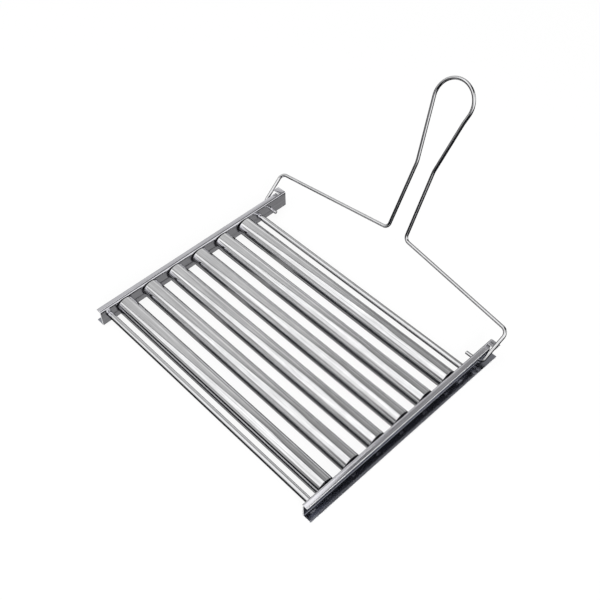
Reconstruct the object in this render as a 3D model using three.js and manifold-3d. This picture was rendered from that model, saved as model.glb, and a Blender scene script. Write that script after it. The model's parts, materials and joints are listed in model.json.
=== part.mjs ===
// Hot dog roller rack: six free-turning tubes between two channel rails, with a folding wire handle.
// Millimetres, +Z up, rollers along X, handle towards +Y. The rack is symmetric about X = 0; the handle's
// wire is bent by hand, and its two sides differ by a few millimetres.
import * as THREE from 'three';
import { mergeVertices } from 'three/addons/utils/BufferGeometryUtils.js';
import Module from 'manifold-3d';

const wasm = await Module();
wasm.setup();

// End rails: bent sheet channels, web on the inside, flanges turned outwards
const RAIL_SPACING = 280;          // between the inner faces of the two webs
const RAIL_LENGTH = 243;
const RAIL_HEIGHT = 20;
const SHEET = 1.5;
const BEND_RADIUS = 2;             // outside of the bend
const TOP_FLANGE = 6;
const BOTTOM_FLANGE = 10;
const TAB_WIDTH = 11;              // end tab of the top flange, the handle's stop
const SLIT = 1.8;                  // frees the tab from the flange

// Rollers: a tube with a plug pressed into each end; the plug's journal turns in the web
const ROLLER_COUNT = 6;
const ROLLER_PITCH = 31.2;
const FIRST_ROLLER_Y = 28;
const ROLLER_AXIS_Z = 10.2;
const ROLLER_DIAMETER = 19.5;
const TUBE_WALL = 1;
const END_GAP = 1.6;               // tube end to web
const END_CHAMFER = 0.3;
const PLUG_RECESS = 0.8;
const PLUG_THICKNESS = 6;
const JOURNAL_RADIUS = 2.2;
const JOURNAL_OVERHANG = 1.6;      // beyond the outer face of the web

// Tie rods: shouldered on the webs, their ends riveted over outside
const TIE_ROD_DIAMETER = 6;
const FRONT_TIE_ROD_Y = 9.5;
const REAR_TIE_ROD_Y = 204.5;
const TIE_ROD_Z = 10.2;
const SPIGOT_RADIUS = 2;
const RIVET_HEAD_RADIUS = 3.4;
const RIVET_HEAD_HEIGHT = 1.6;
const RIVET_SHOULDER_RADIUS = 2.7; // where the head's rim turns into its crown
const RIVET_SHOULDER_HEIGHT = 1;

// Handle: one wire, in at one rail, round the grip and back in at the other rail.
// "Along" is measured from the pivot up the base, then from the bend line up the grip.
const WIRE_DIAMETER = 3.5;
const PIVOT_Y = 221.5;
const PIVOT_Z = 9;
const BASE_ANGLE = THREE.MathUtils.degToRad(43.5);
const GRIP_ANGLE = THREE.MathUtils.degToRad(60.8);
const ARM_LENGTH = 38.1;
const BASE_LENGTH = 54.2;
const KINK_ALONG = 73.6;
const LOOP_RADIUS = 21.3;
const LOOP_CENTRE_ALONG = 139.8;
const PIVOT_BEND = 6;
const CORNER_BEND = 7;
const NECK_BEND = 6;
const KINK_BEND = 30;

// Distances of the wire's corners from X = 0 on each side. The right limb of the grip
// has one more bend, at the foot of its round end.
const LEFT_SIDE = { tip: 131.8, pivot: 151.4, corner: 151, neck: 8.7, kink: 8.8 };
const RIGHT_SIDE = { tip: 129.8, pivot: 147.5, corner: 151.8, neck: 14.2, kink: 11.9, foot: 19 };
const FOOT_ALONG = 126.8;
const FOOT_BEND = 9;

const CLEARANCE = 0.3;             // between pieces that touch
const OVERCUT = 1;                 // how far a cutter runs past what it cuts
const HOLE_SIDES = 16;
const TUBE_SIDES = 24;
const TURNED_SIDES = 16;
const WIRE_SIDES = 8;
const STEPS_PER_FOLD = 4;           // round each bend of the sheet
const STEPS_PER_BEND = 4;           // round each bend of the wire
const ARC_POINTS_PER_SEGMENT = 2;   // three.js splits an arc into twice its curveSegments
const LOOP_STEPS = 14;

const HALF_SPACING = RAIL_SPACING / 2;
const WIRE_RADIUS = WIRE_DIAMETER / 2;
const HANDLE_REACH = BASE_LENGTH * Math.cos(BASE_ANGLE)
  + (LOOP_CENTRE_ALONG + LOOP_RADIUS) * Math.cos(GRIP_ANGLE);
const OVERALL_DEPTH = PIVOT_Y + HANDLE_REACH + WIRE_RADIUS;

// The open handle leans on the front upper edge of the tabs.
const TAB_FRONT_Y = PIVOT_Y
  + (WIRE_RADIUS + CLEARANCE + (RAIL_HEIGHT - PIVOT_Z) * Math.cos(BASE_ANGLE)) / Math.sin(BASE_ANGLE);
const FLANGE_END_Y = TAB_FRONT_Y - SLIT;

const rollerY = (index) => FIRST_ROLLER_Y + index * ROLLER_PITCH;

const satinSteel = () => new THREE.MeshStandardMaterial({ color: 0xb4b6b9, roughness: 0.38, metalness: 1 });
const polishedSteel = () => new THREE.MeshStandardMaterial({ color: 0xd2d3d6, roughness: 0.18, metalness: 1 });
const turnedSteel = () => new THREE.MeshStandardMaterial({ color: 0x8e9093, roughness: 0.45, metalness: 1 });
const wireSteel = () => new THREE.MeshStandardMaterial({ color: 0xc9cbce, roughness: 0.15, metalness: 1 });

function toManifold(geometry) {
  const bare = geometry.clone();
  bare.deleteAttribute('normal');
  bare.deleteAttribute('uv');
  const welded = mergeVertices(bare);
  return new wasm.Manifold(new wasm.Mesh({
    numProp: 3,
    vertProperties: new Float32Array(welded.attributes.position.array),
    triVerts: new Uint32Array(welded.index.array),
  }));
}

function fromManifold(solid) {
  const mesh = solid.getMesh();
  const geometry = new THREE.BufferGeometry();
  geometry.setAttribute('position', new THREE.BufferAttribute(mesh.vertProperties, 3));
  geometry.setIndex(new THREE.BufferAttribute(mesh.triVerts, 1));
  geometry.computeVertexNormals();
  return geometry;
}

// Section of the rail in x (outwards from the web's inner face) and z, as wide on top as its tab.
function railSection(side) {
  const inner = BEND_RADIUS - SHEET;
  const shape = new THREE.Shape();
  shape.moveTo(TAB_WIDTH, RAIL_HEIGHT);
  shape.absarc(BEND_RADIUS, RAIL_HEIGHT - BEND_RADIUS, BEND_RADIUS, Math.PI / 2, Math.PI, false);
  shape.absarc(BEND_RADIUS, BEND_RADIUS, BEND_RADIUS, Math.PI, 1.5 * Math.PI, false);
  shape.lineTo(BOTTOM_FLANGE, 0);
  shape.lineTo(BOTTOM_FLANGE, SHEET);
  shape.absarc(BEND_RADIUS, BEND_RADIUS, inner, 1.5 * Math.PI, Math.PI, true);
  shape.absarc(BEND_RADIUS, RAIL_HEIGHT - BEND_RADIUS, inner, Math.PI, Math.PI / 2, true);
  shape.lineTo(TAB_WIDTH, RAIL_HEIGHT - SHEET);
  shape.closePath();
  const points = shape.extractPoints(STEPS_PER_FOLD / ARC_POINTS_PER_SEGMENT).shape;
  return new THREE.Shape(points.map((p) => new THREE.Vector2(side * (HALF_SPACING + p.x), p.y)));
}

// A cutter box given by its limits outwards from the web, along Y and along Z.
function cutterBox(side, out, along, up) {
  const size = [out, along, up].map(([low, high]) => high - low);
  const box = new THREE.BoxGeometry(...size);
  box.translate(side * (HALF_SPACING + (out[0] + out[1]) / 2), (along[0] + along[1]) / 2, (up[0] + up[1]) / 2);
  return toManifold(box);
}

function cutterHole(side, radius, y, z) {
  const depth = SHEET + 2 * OVERCUT;
  const hole = new THREE.CylinderGeometry(radius, radius, depth, HOLE_SIDES);
  hole.rotateZ(Math.PI / 2);
  hole.translate(side * (HALF_SPACING + SHEET / 2), y, z);
  return toManifold(hole);
}

function railHoles(side) {
  const journal = JOURNAL_RADIUS + CLEARANCE;
  const spigot = SPIGOT_RADIUS + CLEARANCE;
  const holes = [
    cutterHole(side, spigot, FRONT_TIE_ROD_Y, TIE_ROD_Z),
    cutterHole(side, spigot, REAR_TIE_ROD_Y, TIE_ROD_Z),
    cutterHole(side, WIRE_RADIUS + CLEARANCE, PIVOT_Y, PIVOT_Z),
  ];
  for (let index = 0; index < ROLLER_COUNT; index += 1) {
    holes.push(cutterHole(side, journal, rollerY(index), ROLLER_AXIS_Z));
  }
  return holes;
}

function makeRail(side) {
  const channel = new THREE.ExtrudeGeometry(railSection(side), { depth: RAIL_LENGTH, bevelEnabled: false });
  channel.rotateX(Math.PI / 2);
  channel.translate(0, RAIL_LENGTH, 0);
  const flangeHeight = [RAIL_HEIGHT - SHEET - OVERCUT, RAIL_HEIGHT + OVERCUT];
  const pastTab = TAB_WIDTH + OVERCUT;
  const cutters = [
    cutterBox(side, [TOP_FLANGE, pastTab], [-OVERCUT, FLANGE_END_Y + SLIT / 2], flangeHeight),
    cutterBox(side, [BEND_RADIUS, pastTab], [FLANGE_END_Y, TAB_FRONT_Y], flangeHeight),
    ...railHoles(side),
  ];
  const rail = cutters.reduce((solid, cutter) => solid.subtract(cutter), toManifold(channel));
  return fromManifold(rail);
}

// A turned piece: a profile of [x, radius] points spun about the X axis.
function turned(profile, sides) {
  const points = profile.map(([x, radius]) => new THREE.Vector2(radius, x));
  const geometry = new THREE.LatheGeometry(points, sides);
  geometry.rotateZ(-Math.PI / 2);
  return geometry;
}

const TUBE_END = HALF_SPACING - END_GAP;

function makeTube() {
  const outer = ROLLER_DIAMETER / 2;
  const bore = outer - TUBE_WALL;
  return turned([
    [-TUBE_END, bore],
    [-TUBE_END, outer - END_CHAMFER],
    [-TUBE_END + END_CHAMFER, outer],
    [TUBE_END - END_CHAMFER, outer],
    [TUBE_END, outer - END_CHAMFER],
    [TUBE_END, bore],
    [-TUBE_END, bore],
  ], TUBE_SIDES);
}

// The plug sits just inside the tube's end; its journal reaches through the web.
function makePlug(side) {
  const radius = ROLLER_DIAMETER / 2 - TUBE_WALL - CLEARANCE;
  const face = TUBE_END - PLUG_RECESS;
  const tip = HALF_SPACING + SHEET + JOURNAL_OVERHANG;
  const profile = [
    [face - PLUG_THICKNESS, 0],
    [face - PLUG_THICKNESS, radius],
    [face, radius],
    [face, JOURNAL_RADIUS],
    [tip, JOURNAL_RADIUS],
    [tip, 0],
  ];
  const plug = turned(profile, TURNED_SIDES);
  if (side < 0) plug.rotateZ(Math.PI);
  return plug;
}

function makeTieRod() {
  const shoulder = HALF_SPACING - CLEARANCE;
  const head = HALF_SPACING + SHEET + CLEARANCE;
  const half = [
    [shoulder, TIE_ROD_DIAMETER / 2],
    [shoulder, SPIGOT_RADIUS],
    [head, SPIGOT_RADIUS],
    [head, RIVET_HEAD_RADIUS],
    [head + RIVET_SHOULDER_HEIGHT, RIVET_SHOULDER_RADIUS],
    [head + RIVET_HEAD_HEIGHT, 0],
  ];
  const otherHalf = half.map(([x, radius]) => [-x, radius]).reverse();
  return turned([...otherHalf, ...half], TURNED_SIDES);
}

// The wire's course is a list of stations: the ends of each straight run and a few round each bend.
class WireCourse extends THREE.Curve {
  constructor(stations) {
    super();
    this.stations = stations;
  }

  stationAt(u) {
    return this.stations[Math.round(u * (this.stations.length - 1))];
  }

  getPointAt(u) {
    return this.stationAt(u).point.clone();
  }

  getTangentAt(u) {
    return this.stationAt(u).tangent.clone();
  }

  getSpacedPoints(divisions) {
    return Array.from({ length: divisions + 1 }, (_, step) => this.getPointAt(step / divisions));
  }
}

// Stations round a bend of the given radius at a corner between two straight runs.
function bend(before, corner, after, radius) {
  const into = corner.clone().sub(before).normalize();
  const out = after.clone().sub(corner).normalize();
  const turn = into.angleTo(out);
  const start = corner.clone().addScaledVector(into, -radius * Math.tan(turn / 2));
  const axis = into.clone().cross(out).normalize();
  const centre = start.clone().addScaledVector(axis.clone().cross(into), radius);
  const spoke = start.clone().sub(centre);
  return Array.from({ length: STEPS_PER_BEND + 1 }, (_, step) => {
    const swept = (turn * step) / STEPS_PER_BEND;
    return {
      point: spoke.clone().applyAxisAngle(axis, swept).add(centre),
      tangent: into.clone().applyAxisAngle(axis, swept),
    };
  });
}

const onBase = (x, along) => new THREE.Vector3(x, along * Math.cos(BASE_ANGLE), along * Math.sin(BASE_ANGLE));

const onGrip = (x, along) => onBase(x, BASE_LENGTH)
  .add(new THREE.Vector3(0, along * Math.cos(GRIP_ANGLE), along * Math.sin(GRIP_ANGLE)));

// Half of the grip's round end, as on the +X side, from where the straight limb meets it to the top.
// The limb comes from the point (x, along) on the grip.
function loopQuarter(x, along) {
  const reach = new THREE.Vector2(-x, LOOP_CENTRE_ALONG - along);
  const flare = Math.asin(LOOP_RADIUS / reach.length()) + Math.atan2(reach.x, reach.y);
  const direction = onGrip(0, 1).sub(onGrip(0, 0));
  return Array.from({ length: LOOP_STEPS + 1 }, (_, step) => {
    const angle = -flare + ((Math.PI / 2 + flare) * step) / LOOP_STEPS;
    return {
      point: onGrip(LOOP_RADIUS * Math.cos(angle), LOOP_CENTRE_ALONG + LOOP_RADIUS * Math.sin(angle)),
      tangent: direction.clone().multiplyScalar(Math.cos(angle)).setX(-Math.sin(angle)),
    };
  });
}

// One side's stations, as on the +X side, from the wire's end in the rack to the top of the grip.
function sideStations(side) {
  const corners = [
    { at: onBase(side.tip, 0) },
    { at: onBase(side.pivot, 0), radius: PIVOT_BEND },
    { at: onBase(side.corner, ARM_LENGTH), radius: CORNER_BEND },
    { at: onBase(side.neck, BASE_LENGTH), radius: NECK_BEND },
    { at: onGrip(side.kink, KINK_ALONG), radius: KINK_BEND },
  ];
  if (side.foot) corners.push({ at: onGrip(side.foot, FOOT_ALONG), radius: FOOT_BEND });
  const loop = side.foot ? loopQuarter(side.foot, FOOT_ALONG) : loopQuarter(side.kink, KINK_ALONG);
  corners.push({ at: loop[0].point });
  const bends = corners.slice(1, -1).flatMap(({ at, radius }, index) => (
    bend(corners[index].at, at, corners[index + 2].at, radius)
  ));
  return [{ point: corners[0].at, tangent: new THREE.Vector3(1, 0, 0) }, ...bends, ...loop];
}

function handleStations() {
  const mirror = ({ point, tangent }) => ({
    point: new THREE.Vector3(-point.x, point.y, point.z),
    tangent: new THREE.Vector3(tangent.x, -tangent.y, -tangent.z),
  });
  return [...sideStations(RIGHT_SIDE), ...sideStations(LEFT_SIDE).slice(0, -1).reverse().map(mirror)];
}

function makeHandle() {
  const section = new THREE.Shape();
  section.absarc(0, 0, WIRE_RADIUS, 0, 2 * Math.PI, false);
  const course = new WireCourse(handleStations());
  return new THREE.ExtrudeGeometry(section, {
    steps: course.stations.length - 1,
    curveSegments: WIRE_SIDES / ARC_POINTS_PER_SEGMENT,
    extrudePath: course,
  });
}

const rack = new THREE.Group();
rack.position.y = -OVERALL_DEPTH / 2;

function add(name, geometry, material, y = 0, z = 0) {
  const mesh = new THREE.Mesh(geometry, material);
  mesh.name = name;
  mesh.position.set(0, y, z);
  rack.add(mesh);
}

add('left_rail', makeRail(-1), satinSteel());
add('right_rail', makeRail(1), satinSteel());
add('front_tie_rod', makeTieRod(), polishedSteel(), FRONT_TIE_ROD_Y, TIE_ROD_Z);
add('rear_tie_rod', makeTieRod(), polishedSteel(), REAR_TIE_ROD_Y, TIE_ROD_Z);
for (let index = 0; index < ROLLER_COUNT; index += 1) {
  const number = index + 1;
  add(`roller_tube_${number}`, makeTube(), polishedSteel(), rollerY(index), ROLLER_AXIS_Z);
  add(`roller_plug_left_${number}`, makePlug(-1), turnedSteel(), rollerY(index), ROLLER_AXIS_Z);
  add(`roller_plug_right_${number}`, makePlug(1), turnedSteel(), rollerY(index), ROLLER_AXIS_Z);
}
add('handle_wire', makeHandle(), wireSteel(), PIVOT_Y, PIVOT_Z);

export default rack;
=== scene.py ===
import json
import math

import bmesh
import bpy
from mathutils import Matrix, Vector


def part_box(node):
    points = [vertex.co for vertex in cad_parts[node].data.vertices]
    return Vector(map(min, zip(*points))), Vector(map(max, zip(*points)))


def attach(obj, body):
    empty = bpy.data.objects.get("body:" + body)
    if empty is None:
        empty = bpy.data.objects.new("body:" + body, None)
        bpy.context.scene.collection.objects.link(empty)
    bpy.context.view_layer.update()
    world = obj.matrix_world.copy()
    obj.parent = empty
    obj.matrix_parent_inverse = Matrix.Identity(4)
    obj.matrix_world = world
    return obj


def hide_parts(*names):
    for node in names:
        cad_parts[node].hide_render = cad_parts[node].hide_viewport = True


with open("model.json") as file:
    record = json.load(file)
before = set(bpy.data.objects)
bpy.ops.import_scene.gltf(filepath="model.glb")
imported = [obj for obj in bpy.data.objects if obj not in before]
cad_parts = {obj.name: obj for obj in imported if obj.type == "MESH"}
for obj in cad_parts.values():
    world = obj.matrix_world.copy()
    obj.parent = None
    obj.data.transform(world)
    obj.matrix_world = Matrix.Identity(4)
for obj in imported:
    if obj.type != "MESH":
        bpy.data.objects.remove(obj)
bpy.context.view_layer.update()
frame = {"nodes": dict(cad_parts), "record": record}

MM = 0.001

# End rails, each folded from one strip of sheet
SHEET = 1.5 * MM
FOLD_RADIUS = 2.0 * MM              # outside of the fold
TOP_FLANGE = 6.0 * MM               # from the web's inner face
BOTTOM_FLANGE = 10.0 * MM           # from the web's inner face
SLIT = 1.8 * MM                     # frees the end tab from the top flange
TAB_LENGTH = 6.7 * MM
DEBURR = 0.18 * MM
EDGE_FACING = 0.95                  # how squarely a sheared face has to face along X or Y

# Rollers
TUBE_WALL = 1.0 * MM
TUBE_EDGE = 0.35 * MM               # rounding of the cut ends
PLUG_RECESS = 0.8 * MM
PLUG_THICKNESS = 6.0 * MM
PLUG_EDGE = 0.4 * MM
JOURNAL_RADIUS = 2.2 * MM
JOURNAL_HOLE_RADIUS = 2.5 * MM

# Shallow dish turned in a plug's face, as shares of the plug's radius and of the journal's
DISH_DEPTH = 0.35 * MM
DISH_OUTER_RIM = 0.8
DISH_OUTER_FOOT = 0.74
DISH_INNER_FOOT = 1.5
DISH_INNER_RIM = 1.3

# Tie rods, riveted over outside the webs
SHOULDER_CLEARANCE = 0.3 * MM
SHANK_EDGE = 0.3 * MM
SPIGOT_RADIUS = 2.0 * MM
SPIGOT_HOLE_RADIUS = 2.3 * MM
RIVET_GAP = 0.25 * MM
RIVET_HEAD_RADIUS = 3.35 * MM
RIVET_HEAD_HEIGHT = 1.5 * MM
RIVET_FOOT_SHARE = 0.96             # the head's radius against the web
RIVET_RIM_SHARE = 0.15              # height of the head's widest ring
DOME_POWER = 0.7                    # 1 gives half an ellipse, less a fuller head

# Handle wire, measured from the pivot up the base, then from the bend line up the grip
WIRE_RADIUS = 1.75 * MM
WIRE_HOLE_RADIUS = 2.05 * MM
WIRE_CHAMFER = 0.3 * MM
BASE_ANGLE = math.radians(43.5)
GRIP_ANGLE = math.radians(60.8)
ARM_LENGTH = 38.1 * MM
BASE_LENGTH = 54.2 * MM
KINK_ALONG = 73.6 * MM
FOOT_ALONG = 126.8 * MM
LOOP_RADIUS = 21.3 * MM
LOOP_CENTRE_ALONG = 139.8 * MM
PIVOT_BEND = 6.0 * MM
CORNER_BEND = 7.0 * MM
NECK_BEND = 6.0 * MM
KINK_BEND = 30.0 * MM
FOOT_BEND = 9.0 * MM

# Distances of the wire's corners from X = 0; only the right limb of the grip has a foot bend
LEFT_SIDE = {"tip": 131.8 * MM, "pivot": 151.4 * MM, "corner": 151.0 * MM, "neck": 8.7 * MM,
             "kink": 8.8 * MM}
RIGHT_SIDE = {"tip": 129.8 * MM, "pivot": 147.5 * MM, "corner": 151.8 * MM, "neck": 14.2 * MM,
              "kink": 11.9 * MM, "foot": 19.0 * MM}

# How finely round shapes are divided
TUBE_SIDES = 96
TURNED_SIDES = 64
DRILL_SIDES = 48
WIRE_SIDES = 28
FOLD_STEPS = 8
ROUNDING_STEPS = 4
DOME_STEPS = 7
BEND_STEPS = 14
LOOP_STEPS = 36
STRAIGHT_STEP = 4.0 * MM
DEBURR_STEPS = 3
SEAM_ANGLE = math.radians(32)

# Steel: noise scales are per metre, and a share is a part of the value that it goes with
MIDDLE_NOISE = (0.3, 0.7)           # most of a noise's values lie between these
STREAK_SIZE_SHARE = 0.35            # scale of the broader streaks against the fine lines
STREAK_COLOUR_SHARE = 0.8
STREAK_HEIGHT_SHARE = 0.6
LINE_ROUGHNESS_SHARE = 0.35
MARK_SCALE = 45.0                   # handling marks
MARK_COLOUR_NOISE = (0.35, 0.7)     # noise values, from no mark to a full one
MARK_ROUGHNESS_NOISE = (0.4, 0.75)
MARK_LIGHT_SHARE = 0.4              # unmarked steel is lighter by this share of the blotch
SCUFF_SCALE = 260.0
SCUFF_NOISE = (0.55, 0.8)
BUMP_STRENGTH = 0.6
ALONG_X = (0.02, 1.0, 1.0)          # scales of the noise's axes: lines run where it is small
ALONG_X_ROD = (0.03, 1.0, 1.0)
ALONG_Y = (1.0, 0.025, 1.0)
ALONG_Z = (1.0, 1.0, 0.2)
NO_GRAIN = (1.0, 1.0, 1.0)

# Camera: the product view, from the front right and above
VIEW_AZIMUTH = math.radians(47.26)
VIEW_ELEVATION = math.radians(49.52)
VIEW_ROLL = math.radians(-1.2)
VIEW_DISTANCE = 0.8285
VIEW_OFFSET = Vector((-0.0053, 0.0152, 0.040))     # from the middle of the rails' footprint
LENS_MM = 53.04
SENSOR_MM = 36.0
CLIP_START = 0.01

# Floor, and the grey card below the left end of the rack
FLOOR_REACH = 4.0
FLOOR_DROP = 0.4 * MM
FLOOR_GLOW = 0.90
FLOOR_MATT = 0.10
CARD_DEPTH = 30.0 * MM
CARD_GAP = 12.0 * MM
CARD_WIDTH = 35.0 * MM
CARD_OVERHANG = 45.0 * MM
CARD_GLOW = 0.22

# Area lights: place, side and watts
OVERHEAD_PANEL = ((-0.3, -0.5, 1.8), 1.8, 16.0)
SIDE_PANEL = ((1.1, -0.8, 0.7), 0.8, 14.0)

# Surroundings, as (place, level) stops. A place is the x or z of the direction, or degrees round the
# X axis: 0 is the horizon behind, 90 straight up, 180 the horizon in front. The first curve gives the
# rear edge of the soft panel in those degrees, and the panel and its frame go by the degrees past it.
PANEL_EDGE_BY_X = [(-0.8, 150), (-0.57, 100), (-0.35, 67), (-0.31, 80), (-0.2, 80), (0.15, 105), (1.0, 112)]
PANEL_PAST_EDGE = [(-1.5, 0.0), (1.5, 1.06)]
FRAME_PAST_EDGE = [(-10, 1.0), (-7, 0.35), (-3, 0.35), (0, 1.0)]
BACK_BY_ANGLE = [(-2, 0.9), (8, 0.75), (17, 0.75), (26, 1.35), (36, 1.35), (45, 0.95), (55, 1.0)]
BACK_BY_X = [(-0.58, 0.56), (-0.47, 0.50), (-0.36, 0.30), (0.02, 0.30), (0.14, 0.02), (0.50, 0.02),
             (0.60, 0.30), (1.0, 0.36)]
LOW_FRONT_BY_ANGLE = [(144, 1.0), (148, 0.28), (154, 0.28), (159, 0.5), (165, 0.42), (171, 0.01)]
FAR_FRONT_BY_ANGLE = [(152, 0.0), (158, 1.0)]
FAR_FRONT_LOSS_BY_X = [(-0.3, 0.0), (-0.15, 0.97), (0.52, 0.97), (0.62, 0.35), (1.0, 0.3)]
RIM_BY_ANGLE = [(-180, 0.01), (-132, 0.01), (-124, 0.26), (-108, 0.28), (-95, 0.10), (-84, 0.02),
                (-25, 0.02), (-8, 0.22), (0, 0.26)]
RIM_BY_X = [(-0.25, 1.0), (0.0, 0.05)]
HORIZON_BY_Z = [(-0.015, 0.0), (0.015, 1.0)]
STRIP_BY_X = [(0.46, 0.0), (0.54, 1.0)]
STRIP_BY_Z = [(0.06, 0.0), (0.12, 1.0), (0.70, 1.0), (0.78, 0.0)]
DARKEST = 0.012
DARK_TINT = (0.75, 0.8, 1.0, 1.0)   # the darkest parts are slightly blue
TINT_FADE = 6.0                     # the tint is gone where the level times this reaches 1
BACKDROP = (0.98, 0.98, 0.98, 1.0)


# ---------------------------------------------------------------- mesh helpers

def new_object(name, bm, smooth=True):
    bmesh.ops.recalc_face_normals(bm, faces=bm.faces)
    mesh = bpy.data.meshes.new(name)
    bm.to_mesh(mesh)
    bm.free()
    obj = bpy.data.objects.new(name, mesh)
    bpy.context.scene.collection.objects.link(obj)
    if smooth:
        shade(mesh)
    return obj


def shade(mesh):
    """Smooth shading with a crisp line wherever the surface turns sharply."""
    mesh.shade_smooth()
    mesh.set_sharp_from_angle(angle=SEAM_ANGLE)


def lathe(name, centre, profile, sides):
    """A solid turned about the line along X through centre.

    The profile is (x, radius) points, from axis to axis or round a closed ring.
    """
    bm = bmesh.new()
    rings = []
    for x, radius in profile:
        if radius == 0.0:
            rings.append([bm.verts.new((x, centre.y, centre.z))])
            continue
        angles = [2 * math.pi * side / sides for side in range(sides)]
        places = [(x, centre.y + radius * math.cos(a), centre.z + radius * math.sin(a)) for a in angles]
        rings.append([bm.verts.new(place) for place in places])
    pairs = list(zip(rings, rings[1:]))
    if profile[0][1] > 0.0:
        pairs.append((rings[-1], rings[0]))
    for first, second in pairs:
        bridge(bm, first, second, sides)
    return new_object(name, bm)


def bridge(bm, first, second, sides):
    """Faces between two rings, of which either may be a single point."""
    for side in range(sides):
        after = (side + 1) % sides
        if len(first) == 1:
            bm.faces.new((first[0], second[side], second[after]))
        elif len(second) == 1:
            bm.faces.new((first[side], second[0], first[after]))
        else:
            bm.faces.new((first[side], second[side], second[after], first[after]))


def rounded_corner(corner, start, end):
    """Profile points of a rounded corner, from start to end."""
    points = []
    for step in range(ROUNDING_STEPS + 1):
        t = step / ROUNDING_STEPS
        columns = zip(start, corner, end)
        points.append(tuple((1 - t) ** 2 * s + 2 * t * (1 - t) * c + t * t * e for s, c, e in columns))
    return points


def box_cutter(low, high):
    bm = bmesh.new()
    bmesh.ops.create_cube(bm, size=1.0)
    size = [h - l for l, h in zip(low, high)]
    middle = [(l + h) / 2 for l, h in zip(low, high)]
    bmesh.ops.scale(bm, vec=size, verts=bm.verts)
    bmesh.ops.translate(bm, vec=middle, verts=bm.verts)
    return new_object("cutter", bm, smooth=False)


def hole_cutter(x, holes, depth):
    """One object with a drill along X for every (y, z, radius)."""
    bm = bmesh.new()
    turn = Matrix.Rotation(math.pi / 2, 4, "Y")
    for y, z, radius in holes:
        place = Matrix.Translation((x, y, z)) @ turn
        bmesh.ops.create_cone(bm, cap_ends=True, segments=DRILL_SIDES, radius1=radius, radius2=radius,
                              depth=depth, matrix=place)
    return new_object("cutter", bm, smooth=False)


def apply_modifiers(obj):
    depsgraph = bpy.context.evaluated_depsgraph_get()
    mesh = bpy.data.meshes.new_from_object(obj.evaluated_get(depsgraph))
    obj.modifiers.clear()
    obj.data = mesh


def cut(obj, cutters):
    for cutter in cutters:
        modifier = obj.modifiers.new("cut", "BOOLEAN")
        modifier.operation = "DIFFERENCE"
        modifier.solver = "EXACT"
        modifier.object = cutter
    apply_modifiers(obj)
    for cutter in cutters:
        bpy.data.objects.remove(cutter)


def deburr(obj, width):
    modifier = obj.modifiers.new("deburr", "BEVEL")
    modifier.width = width
    modifier.segments = DEBURR_STEPS
    modifier.limit_method = "ANGLE"
    modifier.angle_limit = SEAM_ANGLE
    apply_modifiers(obj)
    shade(obj.data)


def dress(piece, body, node, slot, *materials):
    """Puts a piece on its body in place of its CAD node, with its finish."""
    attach(piece, body)
    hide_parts(node)
    for material in materials:
        piece.data.materials.append(material)


# ---------------------------------------------------------------- places from the frame

def centre_of(node):
    low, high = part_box(node)
    return (low + high) / 2


def end_x(node, side):
    """X of a node's end, on the left for side -1 and on the right for 1."""
    low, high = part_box(node)
    return low.x if side < 0 else high.x


def joint_place(name):
    joint = next(j for j in frame["record"]["behaviour"]["joints"] if j["name"] == name)
    return Vector(joint["pos_m"])


PIVOT = joint_place("handle_fold")
WEB_INNER = -end_x("left_rail", 1)  # distance of both webs' inner faces from X = 0
RACK_CENTRE = (centre_of("left_rail") + centre_of("right_rail")) / 2
ROLLERS = range(1, 1 + len([node for node in frame["nodes"] if node.startswith("roller_tube_")]))
TIE_RODS = ("front_tie_rod", "rear_tie_rod")


# ---------------------------------------------------------------- rails

def fold_arc(centre, radius, start, end):
    """Points round a fold of the sheet, angles in degrees."""
    points = []
    for step in range(FOLD_STEPS + 1):
        angle = math.radians(start + (end - start) * step / FOLD_STEPS)
        points.append((centre[0] + radius * math.cos(angle), centre[1] + radius * math.sin(angle)))
    return points


def rail_section(height, width):
    """Channel section: x outwards from the web's inner face, and z."""
    inner = FOLD_RADIUS - SHEET
    top = (FOLD_RADIUS, height - FOLD_RADIUS)
    bottom = (FOLD_RADIUS, FOLD_RADIUS)
    return [
        (width, height),
        *fold_arc(top, FOLD_RADIUS, 90, 180),
        *fold_arc(bottom, FOLD_RADIUS, 180, 270),
        (BOTTOM_FLANGE, 0.0),
        (BOTTOM_FLANGE, SHEET),
        *fold_arc(bottom, inner, 270, 180),
        *fold_arc(top, inner, 180, 90),
        (width, height - SHEET),
    ]


def make_rail(node, side):
    """A rail on the left for side -1 and on the right for 1, its flanges facing away from the rollers."""
    low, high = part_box(node)
    web_x = end_x(node, -side)
    section = rail_section(high.z - low.z, high.x - low.x)
    bm = bmesh.new()
    outline = [(web_x + side * x, low.z + z) for x, z in section]
    front, back = ([bm.verts.new((x, y, z)) for x, z in outline] for y in (low.y, high.y))
    bm.faces.new(front)
    bm.faces.new(back[::-1])
    count = len(section)
    for index in range(count):
        after = (index + 1) % count
        bm.faces.new((front[index], back[index], back[after], front[after]))
    rail = new_object(node + "_sheet", bm)
    cut(rail, [*flange_cutters(low, high, web_x, side), web_cutter(web_x, side)])
    deburr(rail, DEBURR)
    dress(rail, "rack", node, "rail", satin_sheet, sheared_edge, channel_painted_shade)
    finish_faces(rail, side, web_x, low.z, high.z)


def flange_cutters(low, high, web_x, side):
    """Boxes that narrow the top flange in front of the end tab, and slit it down to the fold."""
    beyond = 2 * (high.x - low.x)
    tab_front = high.y - TAB_LENGTH
    under = high.z - 2 * SHEET
    over = high.z + SHEET
    flange_x = sorted((web_x + side * TOP_FLANGE, web_x + side * beyond))
    slit_x = sorted((web_x + side * FOLD_RADIUS, web_x + side * beyond))
    return [
        box_cutter((flange_x[0], low.y - SHEET, under), (flange_x[1], tab_front - SLIT / 2, over)),
        box_cutter((slit_x[0], tab_front - SLIT, under), (slit_x[1], tab_front, over)),
    ]


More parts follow.
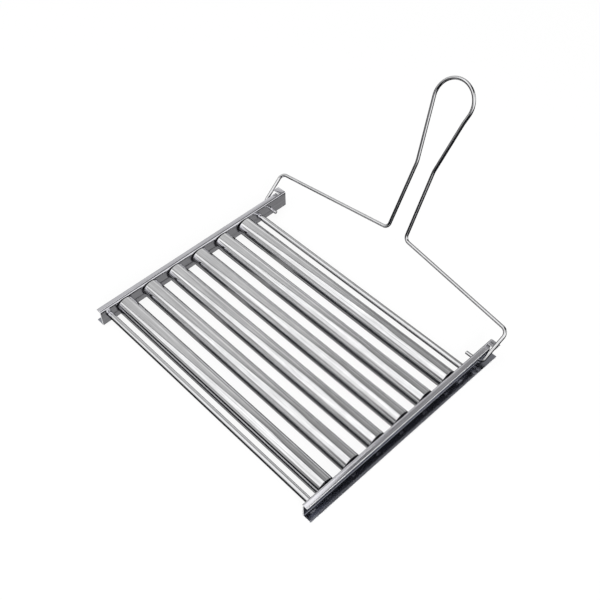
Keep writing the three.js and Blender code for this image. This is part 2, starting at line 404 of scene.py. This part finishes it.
def web_cutter(web_x, side):
    """Drills for the handle wire, the tie rods and the rollers' journals."""
    holes = [(PIVOT.y, PIVOT.z, WIRE_HOLE_RADIUS)]
    holes += [(c.y, c.z, SPIGOT_HOLE_RADIUS) for c in map(centre_of, TIE_RODS)]
    holes += [(c.y, c.z, JOURNAL_HOLE_RADIUS) for c in (centre_of(f"roller_tube_{n}") for n in ROLLERS)]
    return hole_cutter(web_x + side * SHEET / 2, holes, 3 * SHEET)


def finish_faces(rail, side, web_x, low_z, high_z):
    """Satin outside, bright where the sheet was sheared, and a darker, bluer tint inside the channel as
    painted shade.
    """
    past_web = SHEET - DEBURR / 2
    for face in rail.data.polygons:
        across = side * (face.center.x - web_x)
        at_end = abs(face.normal.y) > EDGE_FACING
        at_flange = across > TOP_FLANGE - SHEET and side * face.normal.x > EDGE_FACING
        if at_end or at_flange:
            face.material_index = 1
        # Faces inside the channel take the darker material: painted shade in the channel's recess.
        elif across > past_web and low_z + past_web < face.center.z < high_z - past_web:
            face.material_index = 2


# ---------------------------------------------------------------- rollers

def make_tube(number):
    node = f"roller_tube_{number}"
    low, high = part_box(node)
    outer = (high.z - low.z) / 2
    bore = outer - TUBE_WALL
    left = rounded_corner((low.x, outer), (low.x, outer - TUBE_EDGE), (low.x + TUBE_EDGE, outer))
    right = rounded_corner((high.x, outer), (high.x - TUBE_EDGE, outer), (high.x, outer - TUBE_EDGE))
    profile = [(low.x, bore + TUBE_EDGE), *left, *right, (high.x, bore + TUBE_EDGE)]
    profile += [(high.x - TUBE_EDGE, bore), (low.x + TUBE_EDGE, bore)]
    tube = lathe(f"tube_{number}", centre_of(node), profile, TUBE_SIDES)
    dress(tube, f"roller_{number}", node, "roller_tube", polished_tube)


def make_plug(number, side):
    """An end plug with its journal, on the left for side -1 and on the right for 1."""
    name = "left" if side < 0 else "right"
    node = f"roller_plug_{name}_{number}"
    low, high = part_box(node)
    radius = (high.z - low.z) / 2
    tip = end_x(node, side)
    face = end_x(f"roller_tube_{number}", side) - side * PLUG_RECESS
    profile = [
        (face - side * PLUG_THICKNESS, 0.0),
        (face - side * PLUG_THICKNESS, radius - PLUG_EDGE),
        (face - side * (PLUG_THICKNESS - PLUG_EDGE), radius),
        (face - side * PLUG_EDGE, radius),
        (face, radius - PLUG_EDGE),
        (face, radius * DISH_OUTER_RIM),
        (face - side * DISH_DEPTH, radius * DISH_OUTER_FOOT),
        (face - side * DISH_DEPTH, JOURNAL_RADIUS * DISH_INNER_FOOT),
        (face, JOURNAL_RADIUS * DISH_INNER_RIM),
        (face, JOURNAL_RADIUS),
        (tip - side * PLUG_EDGE, JOURNAL_RADIUS),
        (tip, JOURNAL_RADIUS - PLUG_EDGE),
        (tip, 0.0),
    ]
    plug = lathe(f"plug_{name}_{number}", centre_of(node), profile, TURNED_SIDES)
    dress(plug, f"roller_{number}", node, "roller_plug", turned_plug)


# ---------------------------------------------------------------- tie rods

def make_tie_rod(node):
    centre = centre_of(node)
    shank = shank_radius(node)
    shoulder = WEB_INNER - SHOULDER_CLEARANCE
    head = WEB_INNER + SHEET + RIVET_GAP
    half = [
        (shoulder - SHANK_EDGE, shank),
        (shoulder, shank - SHANK_EDGE),
        (shoulder, SPIGOT_RADIUS),
        (head, SPIGOT_RADIUS),
        (head, RIVET_HEAD_RADIUS * RIVET_FOOT_SHARE),
        *rivet_dome(head),
    ]
    other = [(-x, radius) for x, radius in reversed(half)]
    rod = lathe(node + "_bar", Vector((0.0, centre.y, centre.z)), other + half, TURNED_SIDES)
    dress(rod, "rack", node, "tie_rod", bright_rod)


def rivet_dome(head):
    """Profile points of a rivet's head, from its widest ring to the axis."""
    points = []
    for step in range(DOME_STEPS + 1):
        angle = 0.5 * math.pi * step / DOME_STEPS
        rise = RIVET_RIM_SHARE + (1 - RIVET_RIM_SHARE) * math.sin(angle)
        radius = 0.0 if step == DOME_STEPS else RIVET_HEAD_RADIUS * math.cos(angle) ** DOME_POWER
        points.append((head + RIVET_HEAD_HEIGHT * rise, radius))
    return points


def shank_radius(node):
    """Radius of the rod between the webs, read off the CAD node."""
    centre = centre_of(node)
    points = [vertex.co for vertex in frame["nodes"][node].data.vertices]
    return max(abs(point.z - centre.z) for point in points if abs(point.x) < WEB_INNER)


# ---------------------------------------------------------------- handle

def bend(before, corner, after, radius):
    """Stations round a bend at a corner: (point, tangent)."""
    into = (corner - before).normalized()
    out = (after - corner).normalized()
    turn = into.angle(out)
    start = corner - into * radius * math.tan(turn / 2)
    axis = into.cross(out).normalized()
    centre = start + axis.cross(into) * radius
    stations = []
    for step in range(BEND_STEPS + 1):
        spin = Matrix.Rotation(turn * step / BEND_STEPS, 3, axis)
        stations.append((centre + spin @ (start - centre), spin @ into))
    return stations


def on_base(x, along):
    return Vector((x, along * math.cos(BASE_ANGLE), along * math.sin(BASE_ANGLE)))


def on_grip(x, along):
    return on_base(x, BASE_LENGTH) + Vector((0.0, along * math.cos(GRIP_ANGLE), along * math.sin(GRIP_ANGLE)))


def loop_half(x, along):
    """Half of the grip's round end, as on the +X side, reached from the point (x, along) of the grip."""
    reach_x, reach_along = -x, LOOP_CENTRE_ALONG - along
    flare = math.asin(LOOP_RADIUS / math.hypot(reach_x, reach_along)) + math.atan2(reach_x, reach_along)
    direction = (on_grip(0.0, 1.0) - on_grip(0.0, 0.0)).normalized()
    stations = []
    for step in range(LOOP_STEPS + 1):
        angle = -flare + (math.pi / 2 + flare) * step / LOOP_STEPS
        point = on_grip(LOOP_RADIUS * math.cos(angle), LOOP_CENTRE_ALONG + LOOP_RADIUS * math.sin(angle))
        tangent = direction * math.cos(angle) - Vector((math.sin(angle), 0.0, 0.0))
        stations.append((point, tangent))
    return stations


def straight(start, end):
    """Stations along a straight run, without its two ends."""
    (a, tangent), (b, _) = start, end
    count = max(1, round((b - a).length / STRAIGHT_STEP))
    return [(a.lerp(b, step / count), tangent.copy()) for step in range(1, count)]


def side_stations(side):
    """One side of the wire, as on the +X side, from its end in the rack to the top of the grip."""
    corners = [
        (on_base(side["pivot"], 0.0), PIVOT_BEND),
        (on_base(side["corner"], ARM_LENGTH), CORNER_BEND),
        (on_base(side["neck"], BASE_LENGTH), NECK_BEND),
        (on_grip(side["kink"], KINK_ALONG), KINK_BEND),
    ]
    if "foot" in side:
        corners.append((on_grip(side["foot"], FOOT_ALONG), FOOT_BEND))
        loop = loop_half(side["foot"], FOOT_ALONG)
    else:
        loop = loop_half(side["kink"], KINK_ALONG)
    tip = on_base(side["tip"], 0.0)
    points = [tip, *(point for point, _ in corners), loop[0][0]]
    runs = [bend(*points[i:i + 3], radius) for i, (_, radius) in enumerate(corners)]
    course = [(tip, Vector((1.0, 0.0, 0.0)))]
    for run in [*runs, loop]:
        course += straight(course[-1], run[0]) + run
    return course


def wire_stations():
    """The whole wire, from its right end over the grip to its left end, which runs the other way."""
    right = side_stations(RIGHT_SIDE)
    left = side_stations(LEFT_SIDE)[-2::-1]
    mirrored = [(Vector((-p.x, p.y, p.z)), Vector((t.x, -t.y, -t.z))) for p, t in left]
    return [(PIVOT + p, t) for p, t in right + mirrored]


def sweep(name, stations, radius, sides):
    """A round wire along stations, with small chamfers on its two cut ends."""
    (start, first), (end, last) = stations[0], stations[-1]
    cut_radius = radius - WIRE_CHAMFER
    slices = [(start, first, cut_radius), (start + first * WIRE_CHAMFER, first, radius)]
    slices += [(point, tangent.normalized(), radius) for point, tangent in stations[1:-1]]
    slices += [(end - last * WIRE_CHAMFER, last, radius), (end, last, cut_radius)]
    angles = [2 * math.pi * side / sides for side in range(sides)]
    bm = bmesh.new()
    normal = first.orthogonal().normalized()
    rings = []
    for point, tangent, size in slices:
        normal = (normal - tangent * normal.dot(tangent)).normalized()
        across = tangent.cross(normal)
        spokes = [normal * math.cos(angle) + across * math.sin(angle) for angle in angles]
        rings.append([bm.verts.new(point + spoke * size) for spoke in spokes])
    for near, far in zip(rings, rings[1:]):
        bridge(bm, near, far, sides)
    bm.faces.new(rings[0][::-1])
    bm.faces.new(rings[-1])
    return new_object(name, bm)


def make_handle():
    wire = sweep("handle_bent_wire", wire_stations(), WIRE_RADIUS, WIRE_SIDES)
    dress(wire, "handle", "handle_wire", "handle_wire", polished_wire)


# ---------------------------------------------------------------- materials

class Nodes:
    """A small wrapper that adds and links shader nodes."""

    def __init__(self, tree):
        self.tree = tree
        tree.nodes.clear()

    def add(self, kind, inputs=None, **settings):
        """A new node. An input is a value to set or an output to link from."""
        node = self.tree.nodes.new(kind)
        for key, value in settings.items():
            setattr(node, key, value)
        for key, value in (inputs or {}).items():
            if isinstance(value, bpy.types.NodeSocket):
                self.tree.links.new(value, node.inputs[key])
            else:
                node.inputs[key].default_value = value
        return node

    def math(self, operation, *values):
        return self.add("ShaderNodeMath", dict(enumerate(values)), operation=operation).outputs[0]

    def sum(self, first, *others):
        for other in others:
            first = self.math("ADD", first, other)
        return first

    def product(self, first, *others):
        for other in others:
            first = self.math("MULTIPLY", first, other)
        return first

    def ramp(self, value, stops):
        """Piecewise linear curve through (value, level) stops, in the value's own units."""
        low, high = stops[0][0], stops[-1][0]
        top = max(level for _, level in stops)
        place = self.spread(value, low, high, 0.0, 1.0)
        node = self.add("ShaderNodeValToRGB", {"Fac": place})
        elements = node.color_ramp.elements
        while len(elements) < len(stops):
            elements.new(0.5)
        for element, (at, level) in zip(elements, stops):
            element.position = (at - low) / (high - low)
            element.color = (level / top, level / top, level / top, 1.0)
        return self.math("MULTIPLY", node.outputs["Color"], top)

    def spread(self, value, low, high, to_low, to_high):
        """Maps low..high to to_low..to_high, and holds what lies outside at the ends."""
        sockets = {"Value": value, "From Min": low, "From Max": high, "To Min": to_low, "To Max": to_high}
        return self.add("ShaderNodeMapRange", sockets).outputs["Result"]

    def vary(self, noise, amount):
        """A noise's middle values spread from -amount to amount."""
        return self.spread(noise, *MIDDLE_NOISE, -amount, amount)

    def noise(self, vector, scale, detail=2.0, rough=0.5):
        sockets = {"Vector": vector, "Scale": scale, "Detail": detail, "Roughness": rough}
        return self.add("ShaderNodeTexNoise", sockets).outputs["Fac"]


def metal(name, tint, roughness, grain, line_scale, line_contrast, line_depth, blotch=0.08, dulling=0.06,
          metallic=1.0):
    """Worked stainless steel: fine lines along the grain, broader streaks, handling marks and a slight bump.

    grain scales the object's axes, small along the lines; line_scale is in lines per metre across them.
    """
    material = bpy.data.materials.new(name)
    material.use_nodes = True
    n = Nodes(material.node_tree)
    place = n.add("ShaderNodeTexCoord").outputs["Object"]
    along = n.add("ShaderNodeMapping", {"Vector": place, "Scale": grain}).outputs["Vector"]
    lines = n.noise(along, line_scale, detail=3.0, rough=0.65)
    streaks = n.noise(along, line_scale * STREAK_SIZE_SHARE)
    marks = n.noise(place, MARK_SCALE, detail=4.0, rough=0.6)
    scuffs = n.noise(place, SCUFF_SCALE, detail=3.0, rough=0.7)

    bright = n.sum(n.vary(lines, line_contrast),
                   n.vary(streaks, STREAK_COLOUR_SHARE * line_contrast),
                   n.spread(marks, *MARK_COLOUR_NOISE, MARK_LIGHT_SHARE * blotch, -blotch),
                   1.0)
    colour = n.add("ShaderNodeMix", {"Factor": 1.0, "A": (*tint, 1.0), "B": bright}, data_type="RGBA",
                   blend_type="MULTIPLY").outputs["Result"]
    rough = n.sum(n.vary(lines, LINE_ROUGHNESS_SHARE * roughness),
                  n.spread(marks, *MARK_ROUGHNESS_NOISE, 0.0, dulling),
                  n.spread(scuffs, *SCUFF_NOISE, 0.0, dulling),
                  roughness)
    height = n.sum(lines, n.product(streaks, STREAK_HEIGHT_SHARE))
    bump = n.add("ShaderNodeBump", {"Strength": BUMP_STRENGTH, "Distance": line_depth, "Height": height})
    shader = n.add("ShaderNodeBsdfPrincipled", {"Base Color": colour, "Metallic": metallic,
                                                "Roughness": rough, "Normal": bump.outputs["Normal"]})
    n.add("ShaderNodeOutputMaterial", {"Surface": shader.outputs[0]})
    return material


satin_sheet = metal("satin_brushed_sheet", (0.82, 0.815, 0.855), 0.15, ALONG_Y, 2600.0, 0.10, 0.008 * MM,
                    blotch=0.05, dulling=0.02)
# Painted shade: a darker, bluer tint for the faces inside the rails' channels, where shade falls.
channel_painted_shade = metal("channel_painted_shade", (0.40, 0.41, 0.46), 0.17, ALONG_Y, 2600.0, 0.10, 0.006 * MM,
                       blotch=0.05, dulling=0.02)
sheared_edge = metal("sheared_edge", (0.93, 0.93, 0.94), 0.45, ALONG_Z, 1800.0, 0.05, 0.008 * MM,
                     metallic=0.25)
polished_tube = metal("polished_tube", (0.84, 0.84, 0.85), 0.08, ALONG_X, 1500.0, 0.15, 0.005 * MM,
                      dulling=0.03)
turned_plug = metal("turned_plug", (0.42, 0.42, 0.43), 0.32, NO_GRAIN, 1800.0, 0.08, 0.02 * MM)
bright_rod = metal("bright_drawn_rod", (0.78, 0.78, 0.79), 0.08, ALONG_X_ROD, 2200.0, 0.05, 0.003 * MM,
                   dulling=0.02)
polished_wire = metal("polished_wire", (0.80, 0.80, 0.81), 0.08, NO_GRAIN, 900.0, 0.04, 0.002 * MM,
                      dulling=0.02)


# ---------------------------------------------------------------- the object

make_rail("left_rail", -1)
make_rail("right_rail", 1)
for tie_rod in TIE_RODS:
    make_tie_rod(tie_rod)
for roller in ROLLERS:
    make_tube(roller)
    make_plug(roller, -1)
    make_plug(roller, 1)
make_handle()


# ---------------------------------------------------------------- studio

def emitter(name, level, diffuse=0.0):
    """A stage material of one even brightness, with an optional matt part that takes soft shadows."""
    material = bpy.data.materials.new(name)
    material.use_nodes = True
    n = Nodes(material.node_tree)
    glow = n.add("ShaderNodeEmission", {"Color": (level, level, level, 1.0)})
    matt = n.add("ShaderNodeBsdfDiffuse", {"Color": (diffuse, diffuse, diffuse, 1.0)})
    both = n.add("ShaderNodeAddShader", {0: glow.outputs[0], 1: matt.outputs[0]})
    n.add("ShaderNodeOutputMaterial", {"Surface": both.outputs[0]})
    return material


def stage_plane(name, low, high, z, material):
    bm = bmesh.new()
    corners = [(low[0], low[1]), (high[0], low[1]), (high[0], high[1]), (low[0], high[1])]
    bm.faces.new([bm.verts.new((x, y, z)) for x, y in corners])
    mesh = bpy.data.meshes.new(name)
    bm.to_mesh(mesh)
    bm.free()
    plane = bpy.data.objects.new(name, mesh)
    bpy.context.scene.collection.objects.link(plane)
    mesh.materials.append(material)
    return plane


def make_floor():
    """A pale floor that the metal doesn't mirror, because the surroundings stand in for it there."""
    floor = stage_plane("studio_floor", (-FLOOR_REACH, -FLOOR_REACH), (FLOOR_REACH, FLOOR_REACH), -FLOOR_DROP,
                        emitter("pale_floor", FLOOR_GLOW, FLOOR_MATT))
    floor.visible_glossy = False


def make_reflector():
    """A grey card below the left end of the rack, seen only in the metal: it lightens the left rail's web."""
    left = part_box("left_rail")
    low = (left[1][0] + CARD_GAP, left[0][1])
    high = (left[1][0] + CARD_GAP + CARD_WIDTH, left[1][1] + CARD_OVERHANG)
    card = stage_plane("studio_card", low, high, -CARD_DEPTH, emitter("grey_card", CARD_GLOW))
    card.visible_camera = False
    card.visible_diffuse = False
    card.visible_shadow = False


def level_above(n, x, angle):
    """Above the horizon: a large soft panel over the front, grey behind, and less light low in front."""
    past_edge = n.math("SUBTRACT", angle, n.ramp(x, PANEL_EDGE_BY_X))
    behind = n.product(n.ramp(angle, BACK_BY_ANGLE), n.ramp(x, BACK_BY_X), n.ramp(past_edge, FRAME_PAST_EDGE))
    above = n.math("MAXIMUM", behind, n.ramp(past_edge, PANEL_PAST_EDGE))
    loss = n.product(n.ramp(angle, FAR_FRONT_BY_ANGLE), n.ramp(x, FAR_FRONT_LOSS_BY_X))
    return n.product(above, n.ramp(angle, LOW_FRONT_BY_ANGLE), n.math("SUBTRACT", 1.0, loss))


def studio_level(n):
    """Brightness of the surroundings in each direction."""
    direction = n.add("ShaderNodeTexCoord").outputs["Generated"]
    x, y, z = n.add("ShaderNodeSeparateXYZ", {0: direction}).outputs
    angle = n.math("DEGREES", n.math("ARCTAN2", z, y))
    sky = n.ramp(z, HORIZON_BY_Z)
    ground = n.math("SUBTRACT", 1.0, sky)
    below = n.product(n.ramp(angle, RIM_BY_ANGLE), n.ramp(x, RIM_BY_X))
    around = n.sum(n.product(level_above(n, x, angle), sky), n.product(below, ground))
    strip = n.product(n.ramp(x, STRIP_BY_X), n.ramp(z, STRIP_BY_Z))
    return n.math("MAXIMUM", n.math("MAXIMUM", around, strip), DARKEST)


def make_sky():
    """Studio surroundings for the metal, and a plain pale backdrop where the camera sees past the floor."""
    world = bpy.data.worlds.new("studio")
    bpy.context.scene.world = world
    world.use_nodes = True
    n = Nodes(world.node_tree)
    level = studio_level(n)
    tints = {"Factor": n.product(level, TINT_FADE), "A": DARK_TINT, "B": (1.0, 1.0, 1.0, 1.0)}
    tint = n.add("ShaderNodeMix", tints, data_type="RGBA", clamp_factor=True).outputs["Result"]
    studio = n.add("ShaderNodeBackground", {"Color": tint, "Strength": level})
    seen = n.add("ShaderNodeLightPath").outputs["Is Camera Ray"]
    backdrop = n.add("ShaderNodeBackground", {"Color": BACKDROP, "Strength": 1.0})
    mix = n.add("ShaderNodeMixShader", {0: seen, 1: studio.outputs[0], 2: backdrop.outputs[0]})
    n.add("ShaderNodeOutputWorld", {"Surface": mix.outputs[0]})


def area_light(name, location, size, watts):
    """A square soft light aimed at the origin, not mirrored in the metal."""
    data = bpy.data.lights.new(name, "AREA")
    data.shape = "SQUARE"
    data.size = size
    data.energy = watts
    lamp = bpy.data.objects.new(name, data)
    lamp.location = location
    lamp.rotation_euler = (-Vector(location)).to_track_quat("-Z", "Y").to_euler()
    lamp.visible_glossy = False
    bpy.context.scene.collection.objects.link(lamp)


def make_camera():
    back = Vector((math.sin(VIEW_AZIMUTH) * math.cos(VIEW_ELEVATION),
                   -math.cos(VIEW_AZIMUTH) * math.cos(VIEW_ELEVATION),
                   math.sin(VIEW_ELEVATION)))
    data = bpy.data.cameras.new("product_camera")
    data.lens = LENS_MM
    data.sensor_width = SENSOR_MM
    data.clip_start = CLIP_START
    camera = bpy.data.objects.new("product_camera", data)
    bpy.context.scene.collection.objects.link(camera)
    aim = Vector((RACK_CENTRE.x, RACK_CENTRE.y, 0.0)) + VIEW_OFFSET
    camera.location = aim + back * VIEW_DISTANCE
    look = (-back).to_track_quat("-Z", "Y").to_matrix().to_4x4()
    camera.rotation_euler = (look @ Matrix.Rotation(VIEW_ROLL, 4, "Z")).to_euler()
    bpy.context.scene.camera = camera


make_floor()
make_reflector()
make_sky()
area_light("overhead_panel", *OVERHEAD_PANEL)
area_light("side_panel", *SIDE_PANEL)
make_camera()
bpy.context.scene.view_settings.view_transform = "Standard"
